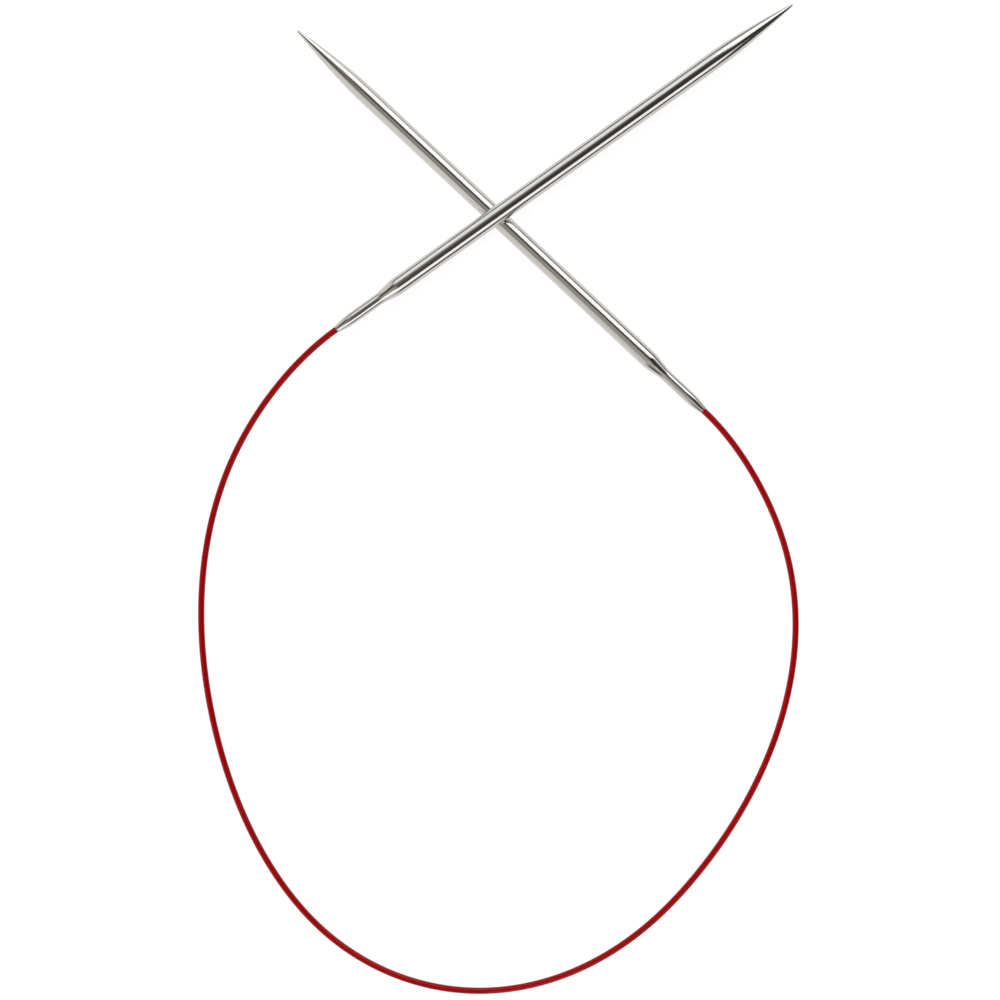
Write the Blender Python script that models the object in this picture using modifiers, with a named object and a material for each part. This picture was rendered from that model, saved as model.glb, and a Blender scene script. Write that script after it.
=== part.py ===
"""A fixed circular knitting needle: two steel needle tips joined by one flexible red cable.

The tips lie crossed, the upper one resting on the lower one, and the cable lies in a loop on the surface
in front of them. Each tip is a hollow shaft with a swaged neck, a solid point pressed into its front, and
a crimp sleeve in its neck that grips the cable. The cable is a nylon jacket over a stranded steel core.
It is one length on the real object, and it is divided here into links that turn on upright hinges, so
that the loop can open, close and be pulled straight.

Lengths are in metres, +Z is up, and the origin lies on the surface under the middle of the two tips.
"""

import math

import bmesh
import bpy
import numpy as np
from mathutils import Vector

MM = 0.001

# Needle tips: a standard 4.0 mm gauge.
TIP_LENGTH = 123.8 * MM
BARREL_RADIUS = 2.0 * MM
POINT_LENGTH = 22.0 * MM
POINT_END_RADIUS = 0.3 * MM
NECK_RADIUS = 1.31 * MM
NECK_TAPER_TOP = 16.8 * MM  # measured from the mouth, as are the next two
NECK_TAPER_FOOT = 11.2 * MM
NECK_CONE_TOP = 2.9 * MM
MOUTH_RADIUS = 0.86 * MM
MOUTH_ROUNDING = 0.06 * MM

# Inside a tip.
BARREL_BORE = 1.4 * MM
NECK_BORE = 1.0 * MM
MOUTH_BORE = 0.765 * MM
MOUTH_BORE_DEPTH = 2.6 * MM
SPIGOT_LENGTH = 6.0 * MM
SLEEVE_LENGTH = 6.5 * MM
SLEEVE_BORE = 0.5 * MM
PRESS_GAP = 0.05 * MM

# Where the tips lie.
GAP = 0.2 * MM
SIDES = 24  # of every turned part
LOWER_MIDDLE = Vector((-9.715 * MM, -2.248 * MM))
UPPER_MIDDLE = Vector((4.445 * MM, 9.110 * MM))
LOWER_HEADING = math.radians(136.9)
UPPER_HEADING = math.radians(35.45)
LOWER_AXIS_HEIGHT = BARREL_RADIUS * math.cos(math.pi / SIDES)
UPPER_AXIS_HEIGHT = LOWER_AXIS_HEIGHT + 2 * BARREL_RADIUS + GAP

# Cable.
JACKET_RADIUS = 0.715 * MM
JACKET_BORE = 0.5 * MM
CORE_RADIUS = 0.45 * MM
CABLE_HEIGHT = 0.735 * MM  # of its centreline, where it lies on the surface
CABLE_SIDES_RESOLUTION = 2
LOWER_DESCENT = (3 * MM, 30 * MM)  # the cable runs level, then comes down over the second length
UPPER_DESCENT = (6 * MM, 110 * MM)

# Links of the cable.
LINK_COUNT = 11
LINK_STEPS = 6
HINGE_DISTANCE = 10 * MM  # from a mouth to the hinge of its tip, along the cable
HINGE_GAP = 0.45 * MM
JACKET_GRIP = 2.2 * MM  # how far the jacket enters a mouth
CORE_GRIP = 9.0 * MM
END_STEPS = 4

# The cable's route between the two mouths, seen from above, in millimetres.
ROUTE_BETWEEN_MOUTHS = [
    (47.1, -59.5),
    (54.3, -76.9),
    (56.1, -95.7),
    (52.7, -114.3),
    (45.2, -131.8),
    (34.7, -147.4),
    (21.4, -160.9),
    (5.0, -170.4),
    (-13.5, -174.1),
    (-32.0, -171.0),
    (-48.3, -161.5),
    (-60.6, -147.1),
    (-69.0, -130.2),
    (-74.2, -111.9),
    (-76.3, -93.1),
    (-74.9, -74.2),
    (-69.4, -56.1),
    (-59.6, -40.0),
]
CURVE_STEPS = 60  # between two points of the route, for its arc length

MATERIALS = {
    "satin_steel": {"color": (0.55, 0.54, 0.53), "metallic": 1.0, "roughness": 0.28},
    "bright_steel": {"color": (0.62, 0.62, 0.62), "metallic": 1.0, "roughness": 0.2},
    "red_nylon": {"color": (0.42, 0.004, 0.012), "metallic": 0.0, "roughness": 0.18},
}


# ---------------------------------------------------------------- scene


def clear_scene():
    for item in list(bpy.data.objects):
        bpy.data.objects.remove(item, do_unlink=True)


def make_collection(name):
    collection = bpy.data.collections.new(name)
    bpy.context.scene.collection.children.link(collection)
    return collection


def make_material(name, finish):
    """One material for one part, with the look of its finish."""
    look = MATERIALS[finish]
    material = bpy.data.materials.new(name)
    material.use_nodes = True
    shader = material.node_tree.nodes["Principled BSDF"]
    shader.inputs["Base Color"].default_value = (*look["color"], 1.0)
    shader.inputs["Metallic"].default_value = look["metallic"]
    shader.inputs["Roughness"].default_value = look["roughness"]
    return material


def add_part(name, data, finish, collection, body):
    """A named part, carried by its body's empty."""
    part = bpy.data.objects.new(name, data)
    collection.objects.link(part)
    part.parent = body
    part.data.materials.append(make_material(name, finish))
    return part


def add_body(name, hinge, collection):
    """An empty on a body's hinge, which carries the body's parts. The hinge's axis is upright."""
    body = bpy.data.objects.new(name, None)
    body.empty_display_size = 5 * MM
    collection.objects.link(body)
    body.location = hinge
    return body


# ---------------------------------------------------------------- turned parts


def turned_mesh(name, profile):
    """The half outline of a turned part, as a mesh of edges.

    The profile's points are (radius, height), down the outer side and, on a hollow part, back up the
    bore. A radius of zero lies on the axis. The outline stands half a side round from +X, so that one
    flat side of the turned part faces straight along +X.
    """
    half_side = math.pi / SIDES
    outline = bmesh.new()
    points = [
        outline.verts.new((r * math.cos(half_side), r * math.sin(half_side), z)) for r, z in profile
    ]
    for first, second in zip(points, points[1:]):
        outline.edges.new((first, second))
    closed_by_axis = profile[0][0] == 0 and profile[-1][0] == 0
    if not closed_by_axis:
        outline.edges.new((points[-1], points[0]))
    mesh = bpy.data.meshes.new(name)
    outline.to_mesh(mesh)
    outline.free()
    return mesh


def turn(part):
    """Turn a part's outline about its own Z axis."""
    screw = part.modifiers.new("turned", "SCREW")
    screw.axis = "Z"
    screw.angle = 2 * math.pi
    screw.steps = SIDES
    screw.render_steps = SIDES
    screw.use_merge_vertices = True
    screw.merge_threshold = 0.001 * MM
    screw.use_smooth_shade = True


def point_profile():
    """A solid point: a rounded end, a long convex taper, a shoulder and a spigot."""
    end_steps = 3
    taper_steps = 9
    rise = BARREL_RADIUS - POINT_END_RADIUS
    top = TIP_LENGTH - POINT_END_RADIUS
    profile = [(0.0, TIP_LENGTH)]
    for step in range(1, end_steps):
        angle = math.pi / 2 * step / end_steps
        profile.append((POINT_END_RADIUS * math.sin(angle), top + POINT_END_RADIUS * math.cos(angle)))
    for step in range(taper_steps + 1):
        along = step / taper_steps
        radius = POINT_END_RADIUS + rise * math.sin(math.pi / 2 * along)
        height = top - (POINT_LENGTH - POINT_END_RADIUS) * along
        profile.append((radius, height))
    seam = TIP_LENGTH - POINT_LENGTH
    spigot_radius = BARREL_BORE - PRESS_GAP
    profile += [(spigot_radius, seam), (spigot_radius, seam - SPIGOT_LENGTH), (0.0, seam - SPIGOT_LENGTH)]
    return profile


def shaft_profile():
    """A hollow shaft, from its front edge down to the mouth and back up the stepped bore."""
    front = TIP_LENGTH - POINT_LENGTH - PRESS_GAP
    outside = [
        (BARREL_RADIUS, front),
        (BARREL_RADIUS, NECK_TAPER_TOP),
        (NECK_RADIUS, NECK_TAPER_FOOT),
        (NECK_RADIUS, NECK_CONE_TOP),
        (MOUTH_RADIUS, MOUTH_ROUNDING),
        (MOUTH_RADIUS - MOUTH_ROUNDING, 0.0),
    ]
    bore = [
        (MOUTH_BORE, 0.0),
        (MOUTH_BORE, MOUTH_BORE_DEPTH),
        (NECK_BORE, MOUTH_BORE_DEPTH),
        (NECK_BORE, NECK_TAPER_FOOT),
        (BARREL_BORE, NECK_TAPER_TOP),
        (BARREL_BORE, front),
    ]
    return outside + bore


def sleeve_profile():
    """A plain tube that fits the neck and holds the cable's bare core."""
    foot = MOUTH_BORE_DEPTH + PRESS_GAP
    top = foot + SLEEVE_LENGTH
    outer = NECK_BORE - PRESS_GAP
    return [(outer, top), (outer, foot), (SLEEVE_BORE, foot), (SLEEVE_BORE, top)]


# ---------------------------------------------------------------- cable route


def heading_vector(heading):
    return Vector((math.cos(heading), math.sin(heading)))


def mouth_of(middle, heading):
    """Where a tip's mouth is, seen from above."""
    return middle - heading_vector(heading) * (TIP_LENGTH / 2)


def smooth_curve(points, start_direction, end_direction):
    """A smooth curve through the points, with the directions given at its two ends.

    The slopes at the points are those of the cubic spline whose parameter is the chord length.
    """
    points = np.array(points)
    chords = np.linalg.norm(np.diff(points, axis=0), axis=1)
    count = len(points)
    matrix = np.zeros((count, count))
    right = np.zeros((count, 2))
    matrix[0, 0] = 1.0
    matrix[-1, -1] = 1.0
    right[0] = start_direction
    right[-1] = end_direction
    for i in range(1, count - 1):
        before = chords[i - 1]
        after = chords[i]
        matrix[i, i - 1] = 1 / before
        matrix[i, i] = 2 / before + 2 / after
        matrix[i, i + 1] = 1 / after
        step_in = (points[i] - points[i - 1]) / before**2
        step_out = (points[i + 1] - points[i]) / after**2
        right[i] = 3 * (step_in + step_out)
    slopes = np.linalg.solve(matrix, right)
    t = np.linspace(0, 1, CURVE_STEPS, endpoint=False)[:, None]
    pieces = []
    for i in range(count - 1):
        pieces.append(
            (2 * t**3 - 3 * t**2 + 1) * points[i]
            + (t**3 - 2 * t**2 + t) * chords[i] * slopes[i]
            + (3 * t**2 - 2 * t**3) * points[i + 1]
            + (t**3 - t**2) * chords[i] * slopes[i + 1]
        )
    return np.vstack([*pieces, points[-1:]])


def smooth_step(value):
    value = min(max(value, 0.0), 1.0)
    return value * value * (3 - 2 * value)


class Route:
    """The cable's centreline, by the distance along it from the lower tip's mouth."""

    def __init__(self):
        start = mouth_of(LOWER_MIDDLE, LOWER_HEADING)
        end = mouth_of(UPPER_MIDDLE, UPPER_HEADING)
        between = [(x * MM, y * MM) for x, y in ROUTE_BETWEEN_MOUTHS]
        self.out_of_lower = -heading_vector(LOWER_HEADING)
        self.into_upper = heading_vector(UPPER_HEADING)
        self.plan = smooth_curve([start, *between, end], self.out_of_lower, self.into_upper)
        steps = np.linalg.norm(np.diff(self.plan, axis=0), axis=1)
        self.distances = np.concatenate([[0.0], np.cumsum(steps)])
        self.length = float(self.distances[-1])

    def height(self, distance):
        """The cable comes down from each mouth to the surface, slowly, because it is stiff."""
        from_lower = (distance - LOWER_DESCENT[0]) / LOWER_DESCENT[1]
        from_upper = (self.length - distance - UPPER_DESCENT[0]) / UPPER_DESCENT[1]
        lower_part = (LOWER_AXIS_HEIGHT - CABLE_HEIGHT) * (1 - smooth_step(from_lower))
        upper_part = (UPPER_AXIS_HEIGHT - CABLE_HEIGHT) * (1 - smooth_step(from_upper))
        return CABLE_HEIGHT + lower_part + upper_part

    def at(self, distance):
        """A point of the centreline. Beyond either mouth it runs straight on, inside the tip."""
        inside = min(max(distance, 0.0), self.length)
        x = float(np.interp(inside, self.distances, self.plan[:, 0]))
        y = float(np.interp(inside, self.distances, self.plan[:, 1]))
        beyond = distance - inside
        along = self.into_upper if beyond > 0 else self.out_of_lower
        return Vector((x + along.x * beyond, y + along.y * beyond, self.height(inside)))

    def points(self, start, end, steps):
        return [self.at(start + (end - start) * step / steps) for step in range(steps + 1)]


# ---------------------------------------------------------------- cable parts


def cable_curve(name, points, origin, radius):
    """A round rod along the points, as a poly curve whose own origin is at the given place."""
    curve = bpy.data.curves.new(name, "CURVE")
    curve.dimensions = "3D"
    curve.bevel_depth = radius
    curve.bevel_resolution = CABLE_SIDES_RESOLUTION
    curve.use_fill_caps = True
    spline = curve.splines.new("POLY")
    spline.points.add(len(points) - 1)
    for spot, point in zip(spline.points, points):
        spot.co = (*(point - origin), 1.0)
    return curve


def add_core(name, points, body, collection):
    curve = cable_curve(name, points, body.location, CORE_RADIUS)
    return add_part(name, curve, "bright_steel", collection, body)


def add_jacket(name, points, body, collection):
    """The jacket is an open tube with a wall that stands inwards, so the core lies in its bore."""
    curve = cable_curve(name, points, body.location, JACKET_RADIUS)
    curve.use_fill_caps = False
    jacket = add_part(name, curve, "red_nylon", collection, body)
    wall = jacket.modifiers.new("wall", "SOLIDIFY")
    wall.thickness = JACKET_RADIUS - JACKET_BORE
    wall.offset = -1
    return jacket


def add_links(route, collection):
    """The cable's links, each under an empty on the hinge that joins it to the link nearer the middle."""
    link_length = (route.length - 2 * HINGE_DISTANCE) / LINK_COUNT
    middle_link = LINK_COUNT // 2
    for index in range(LINK_COUNT):
        start = HINGE_DISTANCE + link_length * index
        end = start + link_length
        hinge = end if index < middle_link else start
        label = f"{index + 1:02d}"
        body = add_body(f"cable_link_{label}", route.at(hinge), collection)
        points = route.points(start + HINGE_GAP / 2, end - HINGE_GAP / 2, LINK_STEPS)
        add_jacket(f"cable_jacket_{label}", points, body, collection)
        add_core(f"cable_core_{label}", points, body, collection)


# ---------------------------------------------------------------- needle tips


def cable_end_points(route, is_lower, grip):
    """The centreline of one end of the cable: straight inside the tip, then out as far as the hinge."""
    reach = HINGE_DISTANCE - HINGE_GAP / 2
    if is_lower:
        return [route.at(-grip), *route.points(0.0, reach, END_STEPS)]
    outside = route.points(route.length - reach, route.length, END_STEPS)
    return [*outside, route.at(route.length + grip)]


def add_tip(side, middle, heading, axis_height, route, collection):
    """One needle tip with its parts, and the end of the cable that is fixed in it."""
    is_lower = side == "lower"
    hinge = route.at(HINGE_DISTANCE if is_lower else route.length - HINGE_DISTANCE)
    body = add_body(f"{side}_needle", hinge, collection)
    mouth = mouth_of(middle, heading)
    place = Vector((mouth.x, mouth.y, axis_height)) - hinge
    lying = (0, math.radians(90), heading)
    for part_name, profile, finish in (
        ("shaft", shaft_profile(), "satin_steel"),
        ("point", point_profile(), "satin_steel"),
        ("crimp_sleeve", sleeve_profile(), "bright_steel"),
    ):
        name = f"{side}_{part_name}"
        part = add_part(name, turned_mesh(name, profile), finish, collection, body)
        part.location = place
        part.rotation_euler = lying
        turn(part)
    jacket_points = cable_end_points(route, is_lower, JACKET_GRIP)
    core_points = cable_end_points(route, is_lower, CORE_GRIP)
    add_jacket(f"{side}_jacket_end", jacket_points, body, collection)
    add_core(f"{side}_core_end", core_points, body, collection)


def main():
    clear_scene()
    collection = make_collection("circular_knitting_needle")
    route = Route()
    add_tip("lower", LOWER_MIDDLE, LOWER_HEADING, LOWER_AXIS_HEIGHT, route, collection)
    add_tip("upper", UPPER_MIDDLE, UPPER_HEADING, UPPER_AXIS_HEIGHT, route, collection)
    add_links(route, collection)


main()
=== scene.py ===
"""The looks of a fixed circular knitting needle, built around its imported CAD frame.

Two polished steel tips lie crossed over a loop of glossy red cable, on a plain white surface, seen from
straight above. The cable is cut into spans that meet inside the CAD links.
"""

import math

import bmesh
import bpy
import numpy as np
from mathutils import Matrix, Quaternion, Vector


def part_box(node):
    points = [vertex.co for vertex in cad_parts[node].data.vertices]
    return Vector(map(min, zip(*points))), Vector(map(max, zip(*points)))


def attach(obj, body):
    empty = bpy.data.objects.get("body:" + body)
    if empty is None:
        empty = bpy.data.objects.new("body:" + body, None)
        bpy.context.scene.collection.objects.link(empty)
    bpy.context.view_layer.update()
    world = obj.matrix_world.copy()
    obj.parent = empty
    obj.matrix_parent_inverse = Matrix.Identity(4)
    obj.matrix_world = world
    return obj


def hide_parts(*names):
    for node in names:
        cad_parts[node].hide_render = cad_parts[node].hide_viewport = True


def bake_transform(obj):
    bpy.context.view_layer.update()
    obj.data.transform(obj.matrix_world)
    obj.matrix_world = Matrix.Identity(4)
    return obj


MM = 0.001

# The tips, as they are in the CAD part.
TIP_LENGTH = 123.8 * MM
BARREL_RADIUS = 2.0 * MM
POINT_LENGTH = 22.0 * MM
POINT_END_RADIUS = 0.3 * MM
NECK_RADIUS = 1.31 * MM
NECK_TAPER_TOP = 16.8 * MM  # measured from the mouth, as are the next two
NECK_TAPER_FOOT = 11.2 * MM
NECK_CONE_TOP = 2.9 * MM
CONE_EASE_START = NECK_CONE_TOP + 0.4 * MM  # where the neck begins to ease into its cone
CONE_EASE_SOFTNESS = 0.10 * MM
MOUTH_RADIUS = 0.86 * MM
MOUTH_ROUNDING = 0.06 * MM
MOUTH_BORE_CHAMFER = 0.01 * MM
BARREL_BORE = 1.4 * MM
NECK_BORE = 1.0 * MM
MOUTH_BORE = 0.765 * MM
MOUTH_BORE_DEPTH = 2.6 * MM
SPIGOT_LENGTH = 6.0 * MM
PRESS_GAP = 0.05 * MM
TIPS = {
    "lower": {"middle": Vector((-9.715 * MM, -2.248 * MM)), "heading": math.radians(136.9)},
    "upper": {"middle": Vector((4.445 * MM, 9.110 * MM)), "heading": math.radians(35.45)},
}
TIP_SIDES = 72

# The cable, as it is in the CAD part.
JACKET_RADIUS = 0.715 * MM
JACKET_BORE = 0.52 * MM
CORE_RADIUS = 0.45 * MM
CABLE_HEIGHT = 0.735 * MM
LOWER_DESCENT = (3 * MM, 30 * MM)  # how far from the mouth it starts down, and how far it takes
UPPER_DESCENT = (6 * MM, 110 * MM)
JACKET_GRIP = 2.2 * MM  # how far the jacket enters a mouth
CORE_GRIP = 9.0 * MM
LINK_COUNT = 11
ROUTE_BETWEEN_MOUTHS = [  # metres, seen from above
    (0.0471, -0.0595),
    (0.0543, -0.0769),
    (0.0561, -0.0957),
    (0.0527, -0.1143),
    (0.0452, -0.1318),
    (0.0347, -0.1474),
    (0.0214, -0.1609),
    (0.0050, -0.1704),
    (-0.0135, -0.1741),
    (-0.0320, -0.1710),
    (-0.0483, -0.1615),
    (-0.0606, -0.1471),
    (-0.0690, -0.1302),
    (-0.0742, -0.1119),
    (-0.0763, -0.0931),
    (-0.0749, -0.0742),
    (-0.0694, -0.0561),
    (-0.0596, -0.0400),
]
CURVE_STEPS = 60  # between two points of the route, for its arc length
DIRECTION_STEP = 0.05 * MM  # to each side of a point, for the route's direction there

# How the cable's spans are built.
SPAN_COUNT = LINK_COUNT + 1
BEND_CLEARANCE = 0.5 * MM  # from a mouth to the first bend outside it
JACKET_RING_STEP = 0.8 * MM
JACKET_SIDES = 32
STRAND_COUNT = 6  # twisted round a straight one
STRAND_RADIUS = CORE_RADIUS / 3
STRAND_LAY = 4.2 * MM  # the length of one turn of a strand
STRAND_RING_STEP = 0.4 * MM
STRAND_SIDES = 10

# The materials' colours.
STEEL_CLEAN = (0.58, 0.57, 0.555, 1)
STEEL_SMUDGED = (0.545, 0.535, 0.52, 1)
CORE_STEEL = (0.55, 0.55, 0.55)
SLEEVE_STEEL = (0.6, 0.6, 0.6)
NYLON_BETWEEN_STRANDS = (0.185, 0.0005, 0.0014, 1)
NYLON_OVER_STRANDS = (0.255, 0.0008, 0.0022, 1)
NYLON_CLOUDED = (0.17, 0.0005, 0.0014, 1)
NYLON_GLOSS = (1.0, 0.25, 0.25, 1)
FLOOR_GREY = (0.075, 0.075, 0.075, 1)
FLOOR_GRAIN = (0.085, 0.085, 0.085, 1)

# The camera looks straight down.
CAMERA_PLACE = (-9.827 * MM, -64.518 * MM, 550 * MM)
CAMERA_WIDTH = 223.6 * MM  # of floor in the picture
CAMERA_SENSOR = 36.0  # in camera units

# The surface and the room.
FLOOR_HEIGHT = -0.02 * MM
FLOOR_SIZE = 6.0
FLOOR_GLOW = 0.93

# Softboxes: name, azimuth, angle from straight up, distance, width and height, roll, brightness,
# colour. All angles here are in degrees.
LIT_PLACE = Vector((-0.01, -0.01, 0))
SOFTBOXES = [
    ("softbox_back_right", 65, 47.5, 1.4, (1.12, 1.24), 30, 1.75, (1.0, 1.0, 1.0)),
    ("softbox_back_left", 110, 52, 1.4, (0.90, 0.98), 12, 1.25, (0.965, 0.98, 1.0)),
    ("softbox_front_right", -60, 48.5, 1.4, (1.10, 0.78), 16, 1.6, (1.0, 0.965, 0.93)),
]
OVERHEAD_STRENGTH = 2.4
OVERHEAD_DIRECTION = (130, 16)  # azimuth and angle from straight up
OVERHEAD_SPREAD = 25
OVERHEAD_DISTANCE = 2.0

# The room: its dimmest light, and glows as azimuth, angle from straight up, the angles within which the
# glow is full and beyond which it is gone, and how bright it is.
ROOM_DIM = 0.05
ROOM_TINT = (1.0, 0.972, 0.91)
ROOM_GLOWS = [
    (210, 72, 14, 38, 0.98),
    (227, 20, 8, 26, 0.40),
    (255, 42, 10, 25, 0.50),
    (-80, 76, 8, 24, 0.90),
    (155, 72, 12, 36, 1.10),
    (120, 26, 6, 18, 0.35),
    (60, 88, 5, 20, 0.70),
    (24, 58, 7, 22, 0.95),
]


# ---------------------------------------------------------------- cable route


def heading_vector(heading):
    return Vector((math.cos(heading), math.sin(heading)))


def mouth_of(side):
    """Where a tip's mouth is, seen from above."""
    tip = TIPS[side]
    return tip["middle"] - heading_vector(tip["heading"]) * (TIP_LENGTH / 2)


def axis_height(side):
    """The height of a tip's axis, from its CAD barrel."""
    low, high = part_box(f"{side}_shaft")
    return (low.z + high.z) / 2


def smooth_curve(points, start_direction, end_direction):
    """The CAD cable's curve: a cubic spline by chord length, with the directions given at its ends."""
    points = np.array(points)
    chords = np.linalg.norm(np.diff(points, axis=0), axis=1)
    count = len(points)
    matrix = np.zeros((count, count))
    right = np.zeros((count, 2))
    matrix[0, 0] = 1.0
    matrix[-1, -1] = 1.0
    right[0] = start_direction
    right[-1] = end_direction
    for i in range(1, count - 1):
        before = chords[i - 1]
        after = chords[i]
        matrix[i, i - 1] = 1 / before
        matrix[i, i] = 2 / before + 2 / after
        matrix[i, i + 1] = 1 / after
        step_in = (points[i] - points[i - 1]) / before**2
        step_out = (points[i + 1] - points[i]) / after**2
        right[i] = 3 * (step_in + step_out)
    slopes = np.linalg.solve(matrix, right)
    t = np.linspace(0, 1, CURVE_STEPS, endpoint=False)[:, None]
    pieces = []
    for i in range(count - 1):
        pieces.append(
            (2 * t**3 - 3 * t**2 + 1) * points[i]
            + (t**3 - 2 * t**2 + t) * chords[i] * slopes[i]
            + (3 * t**2 - 2 * t**3) * points[i + 1]
            + (t**3 - t**2) * chords[i] * slopes[i + 1]
        )
    return np.vstack([*pieces, points[-1:]])


def smooth_step(value):
    value = min(max(value, 0.0), 1.0)
    return value * value * (3 - 2 * value)


class Route:
    """The cable's centreline, by the distance along it from the lower tip's mouth."""

    def __init__(self):
        self.out_of_lower = -heading_vector(TIPS["lower"]["heading"])
        self.into_upper = heading_vector(TIPS["upper"]["heading"])
        ends = mouth_of("lower"), mouth_of("upper")
        points = [ends[0], *ROUTE_BETWEEN_MOUTHS, ends[1]]
        self.plan = smooth_curve(points, self.out_of_lower, self.into_upper)
        steps = np.linalg.norm(np.diff(self.plan, axis=0), axis=1)
        self.distances = np.concatenate([[0.0], np.cumsum(steps)])
        self.length = float(self.distances[-1])
        self.lower_height = axis_height("lower")
        self.upper_height = axis_height("upper")

    def height(self, distance):
        from_lower = (distance - LOWER_DESCENT[0]) / LOWER_DESCENT[1]
        from_upper = (self.length - distance - UPPER_DESCENT[0]) / UPPER_DESCENT[1]
        lower_part = (self.lower_height - CABLE_HEIGHT) * (1 - smooth_step(from_lower))
        upper_part = (self.upper_height - CABLE_HEIGHT) * (1 - smooth_step(from_upper))
        return CABLE_HEIGHT + lower_part + upper_part

    def at(self, distance):
        """A point of the centreline. Beyond either mouth it runs straight on, inside the tip."""
        inside = min(max(distance, 0.0), self.length)
        x = float(np.interp(inside, self.distances, self.plan[:, 0]))
        y = float(np.interp(inside, self.distances, self.plan[:, 1]))
        beyond = distance - inside
        along = self.into_upper if beyond > 0 else self.out_of_lower
        return Vector((x + along.x * beyond, y + along.y * beyond, self.height(inside)))

    def cross_directions(self, distance):
        """Two directions across the cable: to its side, and up."""
        ahead = self.at(distance + DIRECTION_STEP)
        behind = self.at(distance - DIRECTION_STEP)
        tangent = (ahead - behind).normalized()
        sideways = tangent.cross(Vector((0, 0, 1))).normalized()
        return sideways, sideways.cross(tangent)


# ---------------------------------------------------------------- mesh helpers


def ring_stations(start, end, step):
    """Distances from start to end, evenly spaced at about the given step."""
    count = max(2, round((end - start) / step))
    return [start + (end - start) * i / count for i in range(count + 1)]


def add_ring(mesh, centre, across, up, radius, sides):
    """A ring of vertices round a centre."""
    ring = []
    for i in range(sides):
        angle = 2 * math.pi * i / sides
        ring.append(mesh.verts.new(centre + (across * math.cos(angle) + up * math.sin(angle)) * radius))
    return ring


def join_rings(mesh, first, second, along=None, length_layer=None):
    """A band of faces between two rings, with the wrap and the two lengths written to a UV layer."""
    sides = len(first)
    for i in range(sides):
        j = (i + 1) % sides
        face = mesh.faces.new((first[i], first[j], second[j], second[i]))
        if length_layer is not None:
            corners = ((i, along[0]), (i + 1, along[0]), (i + 1, along[1]), (i, along[1]))
            for loop, (step, distance) in zip(face.loops, corners):
                loop[length_layer].uv = (step / sides, distance / STRAND_LAY)


def mesh_object(name, mesh, sharp_angle=40):
    """An object from a finished bmesh, smooth shaded except across sharp edges."""
    bmesh.ops.recalc_face_normals(mesh, faces=mesh.faces)
    data = bpy.data.meshes.new(name)
    mesh.to_mesh(data)
    mesh.free()
    data.polygons.foreach_set("use_smooth", [True] * len(data.polygons))
    data.set_sharp_from_angle(angle=math.radians(sharp_angle))
    made = bpy.data.objects.new(name, data)
    bpy.context.scene.collection.objects.link(made)
    return made


def dress(piece, material):
    """Give a new piece its material."""
    piece.data.materials.clear()
    piece.data.materials.append(material)


# ---------------------------------------------------------------- node helpers


class Nodes:
    """A material's or world's node tree, with short ways to add and join its nodes."""

    def __init__(self, owner):
        owner.use_nodes = True
        self.tree = owner.node_tree
        self.tree.nodes.clear()

    def add(self, kind, **settings):
        node = self.tree.nodes.new(kind)
        for name, value in settings.items():
            setattr(node, name, value)
        return node

    def link(self, source, target):
        self.tree.links.new(source, target)

    def put(self, target, value):
        """Set an input to a number or colour, or join it to an output."""
        if isinstance(value, bpy.types.NodeSocket):
            self.link(value, target)
        else:
            target.default_value = value

    def math(self, operation, first, second=0.0, clamp=False):
        node = self.add("ShaderNodeMath", operation=operation, use_clamp=clamp)
        self.put(node.inputs[0], first)
        self.put(node.inputs[1], second)
        return node.outputs[0]

    def mapped(self, value, from_low, from_high, to_low, to_high, smooth=False):
        node = self.add("ShaderNodeMapRange")
        if smooth:
            node.interpolation_type = "SMOOTHSTEP"
        for name, number in (
            ("From Min", from_low),
            ("From Max", from_high),
            ("To Min", to_low),
            ("To Max", to_high),
        ):
            node.inputs[name].default_value = number
        self.link(value, node.inputs["Value"])
        return node.outputs["Result"]

    def noise(self, vector, scale, detail=2.0, roughness=0.5):
        node = self.add("ShaderNodeTexNoise")
        node.inputs["Scale"].default_value = scale
        node.inputs["Detail"].default_value = detail
        node.inputs["Roughness"].default_value = roughness
        self.link(vector, node.inputs["Vector"])
        return node.outputs["Fac"]

    def scaled(self, vector, factors):
        node = self.add("ShaderNodeMapping")
        node.inputs["Scale"].default_value = factors
        self.link(vector, node.inputs["Vector"])
        return node.outputs["Vector"]

    def mixed(self, factor, first, second):
        """A mix of two colours, whose sockets on this node are 6, 7 and the output 2."""
        node = self.add("ShaderNodeMix", data_type="RGBA")
        self.put(node.inputs[0], factor)
        self.put(node.inputs[6], first)
        self.put(node.inputs[7], second)
        return node.outputs[2]

    def bump(self, height, distance, strength=1.0):
        node = self.add("ShaderNodeBump")
        node.inputs["Strength"].default_value = strength
        node.inputs["Distance"].default_value = distance
        self.link(height, node.inputs["Height"])
        return node.outputs["Normal"]


def new_material(name):
    material = bpy.data.materials.new(name)
    nodes = Nodes(material)
    shader = nodes.add("ShaderNodeBsdfPrincipled")
    output = nodes.add("ShaderNodeOutputMaterial")
    nodes.link(shader.outputs[0], output.inputs["Surface"])
    return material, nodes, shader.inputs


# ---------------------------------------------------------------- materials


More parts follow.
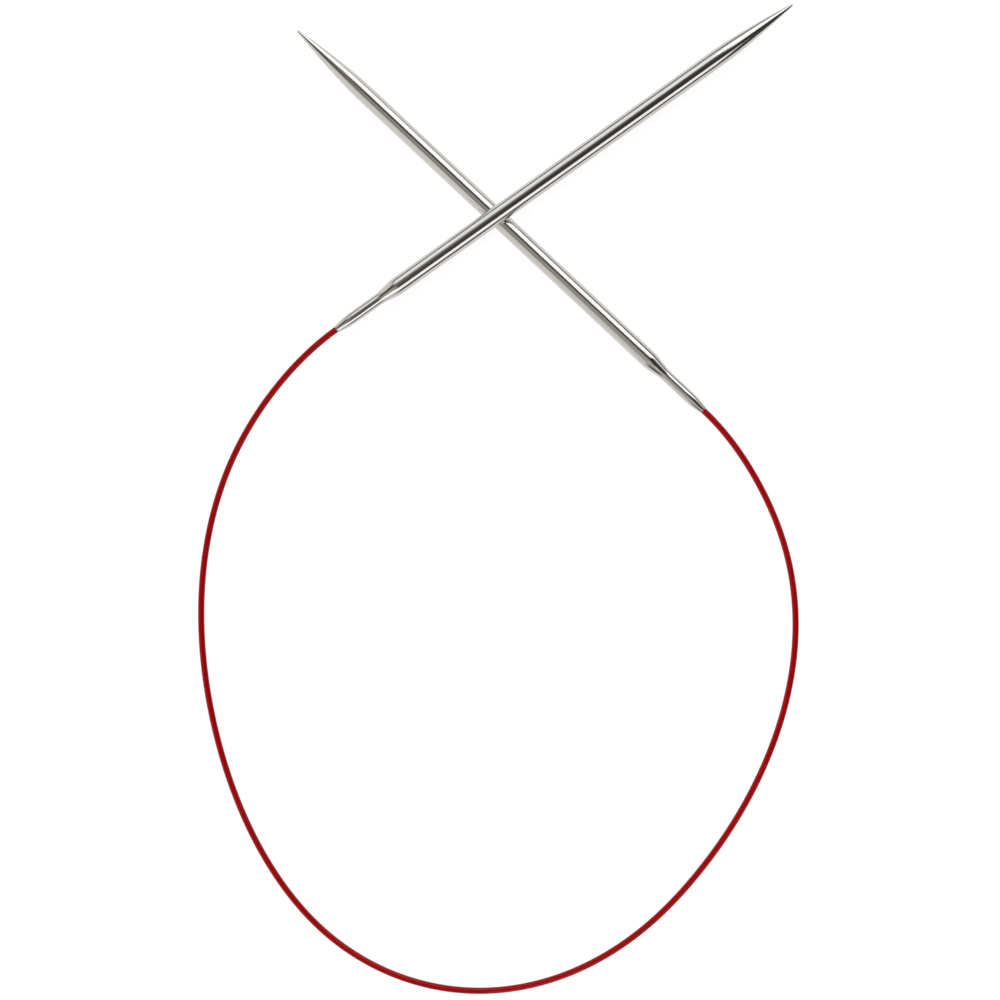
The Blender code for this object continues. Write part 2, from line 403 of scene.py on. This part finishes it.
def polished_steel():
    """Mirror-polished stainless steel, with fine lengthwise polishing lines and faint smudges.

    Noise scales here and below are per metre: the lines are 9000 to the metre across the tip, 60 along it.
    """
    material, nodes, inputs = new_material("polished_steel")
    place = nodes.add("ShaderNodeTexCoord").outputs["Object"]
    lines = nodes.noise(nodes.scaled(place, (9000, 9000, 60)), 1.0, 3.0, 0.6)
    smudges = nodes.noise(place, 55.0, 3.0, 0.55)
    smudged = nodes.mapped(smudges, 0.35, 0.7, 0.0, 1.0)
    nodes.link(nodes.mixed(smudged, STEEL_CLEAN, STEEL_SMUDGED), inputs["Base Color"])
    inputs["Metallic"].default_value = 1.0
    dull = nodes.mapped(smudges, 0.3, 0.75, 0.10, 0.15)
    nodes.link(nodes.math("ADD", dull, nodes.mapped(lines, 0.3, 0.7, 0.0, 0.02)), inputs["Roughness"])
    nodes.link(nodes.bump(lines, 0.0004 * MM, 0.6), inputs["Normal"])
    return material


def drawn_steel(name, tone):
    """Plain drawn steel, for the crimp sleeves and the strands of the core."""
    material, nodes, inputs = new_material(name)
    place = nodes.add("ShaderNodeTexCoord").outputs["Object"]
    grain = nodes.noise(nodes.scaled(place, (3000, 3000, 3000)), 1.0, 2.0, 0.5)
    nodes.link(nodes.mixed(grain, (*[c * 0.85 for c in tone], 1), (*tone, 1)), inputs["Base Color"])
    inputs["Metallic"].default_value = 1.0
    nodes.link(nodes.mapped(grain, 0.3, 0.7, 0.25, 0.4), inputs["Roughness"])
    return material


def red_nylon():
    """Glossy red nylon over twisted steel strands, which show faintly as slanting bands."""
    material, nodes, inputs = new_material("red_nylon")
    wrap = nodes.add("ShaderNodeUVMap", uv_map="wrap")
    parts = nodes.add("ShaderNodeSeparateXYZ")
    nodes.link(wrap.outputs["UV"], parts.inputs[0])
    round_it = nodes.math("MULTIPLY", parts.outputs["X"], STRAND_COUNT)
    turned = nodes.math("ADD", round_it, parts.outputs["Y"])
    wave = nodes.math("SINE", nodes.math("MULTIPLY", turned, 2 * math.pi))
    strands = nodes.mapped(wave, -1.0, 1.0, 0.0, 1.0)
    place = nodes.add("ShaderNodeTexCoord").outputs["Object"]
    cloud = nodes.noise(place, 420.0, 3.0, 0.6)
    red = nodes.mixed(strands, NYLON_BETWEEN_STRANDS, NYLON_OVER_STRANDS)
    varied = nodes.mixed(nodes.mapped(cloud, 0.35, 0.75, 0.0, 0.5), red, NYLON_CLOUDED)
    nodes.link(varied, inputs["Base Color"])
    nodes.link(nodes.mapped(cloud, 0.3, 0.7, 0.05, 0.08), inputs["Roughness"])
    nodes.link(nodes.bump(strands, 0.01 * MM, 0.2), inputs["Normal"])
    inputs["Specular Tint"].default_value = NYLON_GLOSS
    return material


def floor_white():
    """A matt surface, lit from below so that it looks white, with the faintest paper grain."""
    material, nodes, inputs = new_material("floor_white")
    place = nodes.add("ShaderNodeTexCoord").outputs["Object"]
    grain = nodes.noise(place, 900.0, 2.0, 0.5)
    nodes.link(nodes.mixed(grain, FLOOR_GREY, FLOOR_GRAIN), inputs["Base Color"])
    inputs["Roughness"].default_value = 0.9
    inputs["Specular IOR Level"].default_value = 0.0
    inputs["Emission Color"].default_value = (1, 1, 1, 1)
    inputs["Emission Strength"].default_value = FLOOR_GLOW
    return material


# ---------------------------------------------------------------- cable


def jacket_span(name, route, start, end):
    """A length of the jacket, as a closed tube with a wall. Also returns its ring centres."""
    mesh = bmesh.new()
    layer = mesh.loops.layers.uv.new("wrap")
    stations = ring_stations(start, end, JACKET_RING_STEP)
    path = [route.at(distance) for distance in stations]
    outer_rings = []
    inner_rings = []
    for distance, centre in zip(stations, path):
        across, up = route.cross_directions(distance)
        outer_rings.append(add_ring(mesh, centre, across, up, JACKET_RADIUS, JACKET_SIDES))
        inner_rings.append(add_ring(mesh, centre, across, up, JACKET_BORE, JACKET_SIDES))
    for i in range(len(stations) - 1):
        along = stations[i], stations[i + 1]
        join_rings(mesh, outer_rings[i], outer_rings[i + 1], along, layer)
        join_rings(mesh, inner_rings[i], inner_rings[i + 1], along, layer)
    for end_index in (0, -1):
        along = stations[end_index], stations[end_index]
        join_rings(mesh, outer_rings[end_index], inner_rings[end_index], along, layer)
    return mesh_object(name, mesh), path


def core_span(name, route, start, end):
    """A length of the core: straight strand in the middle, and the others twisted round it."""
    mesh = bmesh.new()
    stations = ring_stations(start, end, STRAND_RING_STEP)
    for strand in range(STRAND_COUNT + 1):
        rings = []
        for distance in stations:
            across, up = route.cross_directions(distance)
            centre = route.at(distance)
            if strand < STRAND_COUNT:
                turn = 2 * math.pi * (strand / STRAND_COUNT - distance / STRAND_LAY)
                reach = CORE_RADIUS - STRAND_RADIUS
                centre = centre + (across * math.cos(turn) + up * math.sin(turn)) * reach
            rings.append(add_ring(mesh, centre, across, up, STRAND_RADIUS, STRAND_SIDES))
        for first, second in zip(rings, rings[1:]):
            join_rings(mesh, first, second)
        mesh.faces.new(rings[0])
        mesh.faces.new(rings[-1])
    return mesh_object(name, mesh)


def nodes_of_span(kind, index):
    """The CAD nodes that a span stands for: one link's, or the two at the cable's last end."""
    if index == 0:
        return [f"lower_{kind}_end"]
    if index < LINK_COUNT:
        return [f"cable_{kind}_{index:02d}"]
    return [f"cable_{kind}_{LINK_COUNT:02d}", f"upper_{kind}_end"]


def make_cable(route, jacket_material, core_material):
    """The whole cable: every span of its jacket, with its length of core."""
    whole = route.length + 2 * JACKET_GRIP
    span_length = whole / SPAN_COUNT
    for index in range(SPAN_COUNT):
        start = -JACKET_GRIP + span_length * index
        end = start + span_length
        core_start = -CORE_GRIP if index == 0 else start
        core_end = route.length + CORE_GRIP if index == SPAN_COUNT - 1 else end
        jacket, path = jacket_span(f"jacket_span_{index + 1:02d}", route, start, end)
        core = core_span(f"core_span_{index + 1:02d}", route, core_start, core_end)
        dress(jacket, jacket_material)
        dress(core, core_material)
        bend_start = route.at(max(start, BEND_CLEARANCE))
        bend_end = route.at(min(end, route.length - BEND_CLEARANCE))
        for piece in (jacket, core):
            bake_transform(piece)
        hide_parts(*nodes_of_span("jacket", index))
        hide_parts(*nodes_of_span("core", index))


# ---------------------------------------------------------------- tips


def arc(centre, radius, start, end, steps):
    """Points (radius, height) on an arc, in a tip's half outline. Angles in degrees."""
    points = []
    for i in range(steps + 1):
        angle = math.radians(start + (end - start) * i / steps)
        points.append((centre[0] + radius * math.cos(angle), centre[1] + radius * math.sin(angle)))
    return points


def between(start, end, steps, ease=False):
    """Points from start to end, straight, or as an S in the radius. The last point is left out."""
    points = []
    for i in range(steps):
        share = i / steps
        bend = smooth_step(share) if ease else share
        points.append((start[0] + (end[0] - start[0]) * bend, start[1] + (end[1] - start[1]) * share))
    return points


def point_profile():
    """A solid point: rounded end, long convex taper, shoulder and spigot."""
    rise = BARREL_RADIUS - POINT_END_RADIUS
    top = TIP_LENGTH - POINT_END_RADIUS
    seam = TIP_LENGTH - POINT_LENGTH
    profile = [(0.0, TIP_LENGTH)]
    profile += arc((0.0, top), POINT_END_RADIUS, 80, 10, 7)
    taper_steps = 48
    for step in range(taper_steps + 1):
        share = step / taper_steps
        radius = POINT_END_RADIUS + rise * math.sin(math.pi / 2 * share)
        profile.append((radius, top - (top - seam) * share))
    spigot = BARREL_BORE - PRESS_GAP
    profile += [(spigot, seam), (spigot, seam - SPIGOT_LENGTH), (0.0, seam - SPIGOT_LENGTH)]
    return profile


def cone_points():
    """The cone below the neck, eased into it over its top and straight down to the lip."""
    steps = 14
    points = []
    for i in range(steps):
        height = CONE_EASE_START + (MOUTH_ROUNDING - CONE_EASE_START) * i / steps
        straight = MOUTH_RADIUS + (NECK_RADIUS - MOUTH_RADIUS) * (height / NECK_CONE_TOP)
        gap = (NECK_RADIUS - straight) / CONE_EASE_SOFTNESS
        softened = CONE_EASE_SOFTNESS * (math.log1p(math.exp(-abs(gap))) + max(-gap, 0.0))
        points.append((straight - softened, height))
    return points


def shaft_profile():
    """A hollow shaft: barrel, S-shaped taper, neck, cone and rounded lip, and back up the bore."""
    front = TIP_LENGTH - POINT_LENGTH
    lip = (MOUTH_RADIUS - MOUTH_ROUNDING, MOUTH_ROUNDING)
    profile = []
    profile += between((BARREL_RADIUS, front), (BARREL_RADIUS, NECK_TAPER_TOP), 20)
    profile += between((BARREL_RADIUS, NECK_TAPER_TOP), (NECK_RADIUS, NECK_TAPER_FOOT), 20, ease=True)
    profile += between((NECK_RADIUS, NECK_TAPER_FOOT), (NECK_RADIUS, CONE_EASE_START), 8)
    profile += cone_points()
    profile += arc(lip, MOUTH_ROUNDING, 0, -90, 4)
    profile += [
        (MOUTH_BORE + MOUTH_BORE_CHAMFER, 0.0),
        (MOUTH_BORE, MOUTH_BORE_CHAMFER),
        (MOUTH_BORE, MOUTH_BORE_DEPTH),
        (NECK_BORE, MOUTH_BORE_DEPTH),
        (NECK_BORE, NECK_TAPER_FOOT),
        (BARREL_BORE, NECK_TAPER_TOP),
        (BARREL_BORE, front),
    ]
    return profile


def turned_piece(name, profile, hollow):
    """A turned part, round its own Z axis."""
    mesh = bmesh.new()
    rings = []
    for radius, height in profile:
        if radius == 0:
            rings.append([mesh.verts.new((0, 0, height))])
        else:
            centre = Vector((0, 0, height))
            rings.append(add_ring(mesh, centre, Vector((1, 0, 0)), Vector((0, 1, 0)), radius, TIP_SIDES))
    pairs = list(zip(rings, rings[1:]))
    if hollow:
        pairs.append((rings[-1], rings[0]))
    for first, second in pairs:
        if len(first) == 1 or len(second) == 1:
            apex, ring = (first[0], second) if len(first) == 1 else (second[0], first)
            for i in range(TIP_SIDES):
                mesh.faces.new((apex, ring[i], ring[(i + 1) % TIP_SIDES]))
        else:
            join_rings(mesh, first, second)
    return mesh_object(name, mesh, sharp_angle=30)


def make_tip(side, steel, sleeve_steel):
    """One tip's shaft and point, in place of the CAD ones, and a finish for its crimp sleeve."""
    mouth = mouth_of(side)
    turn = Matrix.Rotation(TIPS[side]["heading"], 4, "Z") @ Matrix.Rotation(math.radians(90), 4, "Y")
    place = Matrix.Translation((mouth.x, mouth.y, axis_height(side))) @ turn
    for part, profile, hollow in (
        ("shaft", shaft_profile(), True),
        ("point", point_profile(), False),
    ):
        piece = turned_piece(f"polished_{side}_{part}", profile, hollow)
        piece.matrix_world = place
        dress(piece, steel)
        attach(piece, f"{side}_needle")
        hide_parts(f"{side}_{part}")
    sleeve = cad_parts[f"{side}_crimp_sleeve"]
    sleeve.data.materials.clear()
    sleeve.data.materials.append(sleeve_steel)


# ---------------------------------------------------------------- camera, surface and light


def make_camera():
    data = bpy.data.cameras.new("camera")
    data.sensor_width = CAMERA_SENSOR
    data.lens = CAMERA_SENSOR * CAMERA_PLACE[2] / CAMERA_WIDTH
    data.clip_start = 0.01
    data.clip_end = 20.0
    camera = bpy.data.objects.new("camera", data)
    camera.location = CAMERA_PLACE
    bpy.context.scene.collection.objects.link(camera)
    bpy.context.scene.camera = camera


def make_floor():
    mesh = bmesh.new()
    half = FLOOR_SIZE / 2
    corners = ((-half, -half), (half, -half), (half, half), (-half, half))
    mesh.faces.new([mesh.verts.new((x, y, FLOOR_HEIGHT)) for x, y in corners])
    floor = mesh_object("floor", mesh)
    floor.data.materials.append(floor_white())


def direction_of(azimuth, from_vertical):
    """The direction at an azimuth, anticlockwise from +X, and an angle from straight up, in degrees."""
    a = math.radians(azimuth)
    t = math.radians(from_vertical)
    return Vector((math.sin(t) * math.cos(a), math.sin(t) * math.sin(a), math.cos(t)))


def softbox(name, azimuth, from_vertical, distance, size, roll, brightness, colour):
    """A rectangular light that faces the object. Angles in degrees; brightness is its radiance.

    The roll is anticlockwise as the object sees it.
    """
    data = bpy.data.lights.new(name, "AREA")
    data.shape = "RECTANGLE"
    data.size, data.size_y = size
    data.energy = brightness * math.pi * size[0] * size[1]
    data.color = colour
    light = bpy.data.objects.new(name, data)
    direction = direction_of(azimuth, from_vertical)
    light.location = LIT_PLACE + direction * distance
    light.rotation_mode = "QUATERNION"
    facing = (-direction).to_track_quat("-Z", "Y")
    light.rotation_quaternion = facing @ Quaternion((0, 0, 1), math.radians(-roll))
    light.visible_camera = False
    bpy.context.scene.collection.objects.link(light)


def make_lights():
    """Softboxes for the strips on the steel, and an overhead light that makes no highlight on it."""
    for box in SOFTBOXES:
        softbox(*box)
    data = bpy.data.lights.new("overhead", "SUN")
    data.energy = OVERHEAD_STRENGTH
    data.angle = math.radians(OVERHEAD_SPREAD)
    overhead = bpy.data.objects.new("overhead", data)
    direction = direction_of(*OVERHEAD_DIRECTION)
    overhead.location = direction * OVERHEAD_DISTANCE
    overhead.rotation_mode = "QUATERNION"
    overhead.rotation_quaternion = (-direction).to_track_quat("-Z", "Y")
    overhead.visible_glossy = False
    bpy.context.scene.collection.objects.link(overhead)


def make_room():
    """A dim room with brighter walls where ROOM_GLOWS says; the camera itself sees plain white."""
    world = bpy.data.worlds.new("room")
    bpy.context.scene.world = world
    nodes = Nodes(world)
    look = nodes.add("ShaderNodeTexCoord").outputs["Generated"]
    light = ROOM_DIM
    for azimuth, from_vertical, inner, outer, value in ROOM_GLOWS:
        toward = nodes.add("ShaderNodeVectorMath", operation="DOT_PRODUCT")
        nodes.link(look, toward.inputs[0])
        toward.inputs[1].default_value = direction_of(azimuth, from_vertical)
        away = nodes.math("ARCCOSINE", toward.outputs["Value"])
        glow = nodes.mapped(away, math.radians(inner), math.radians(outer), value, 0.0, smooth=True)
        light = nodes.math("ADD", glow, light)
    tinted = nodes.add("ShaderNodeVectorMath", operation="SCALE")
    tinted.inputs[0].default_value = ROOM_TINT
    nodes.link(light, tinted.inputs["Scale"])
    lit = nodes.add("ShaderNodeBackground")
    nodes.link(tinted.outputs["Vector"], lit.inputs["Color"])
    seen = nodes.add("ShaderNodeBackground")
    seen.inputs["Color"].default_value = (1, 1, 1, 1)
    choice = nodes.add("ShaderNodeMixShader")
    nodes.link(nodes.add("ShaderNodeLightPath").outputs["Is Camera Ray"], choice.inputs["Fac"])
    nodes.link(lit.outputs[0], choice.inputs[1])
    nodes.link(seen.outputs[0], choice.inputs[2])
    nodes.link(choice.outputs[0], nodes.add("ShaderNodeOutputWorld").inputs["Surface"])


# ---------------------------------------------------------------- build

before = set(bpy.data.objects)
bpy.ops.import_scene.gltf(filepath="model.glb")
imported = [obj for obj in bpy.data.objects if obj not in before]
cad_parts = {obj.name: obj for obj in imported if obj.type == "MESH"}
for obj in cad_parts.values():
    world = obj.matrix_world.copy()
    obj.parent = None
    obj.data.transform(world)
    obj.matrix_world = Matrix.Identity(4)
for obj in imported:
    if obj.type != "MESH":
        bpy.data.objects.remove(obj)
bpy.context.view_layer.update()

make_camera()
make_cable(Route(), red_nylon(), drawn_steel("core_steel", CORE_STEEL))
polish = polished_steel()
sleeve_finish = drawn_steel("sleeve_steel", SLEEVE_STEEL)
for tip_side in TIPS:
    make_tip(tip_side, polish, sleeve_finish)
make_floor()
make_lights()
make_room()
bpy.context.scene.view_settings.view_transform = "Standard"
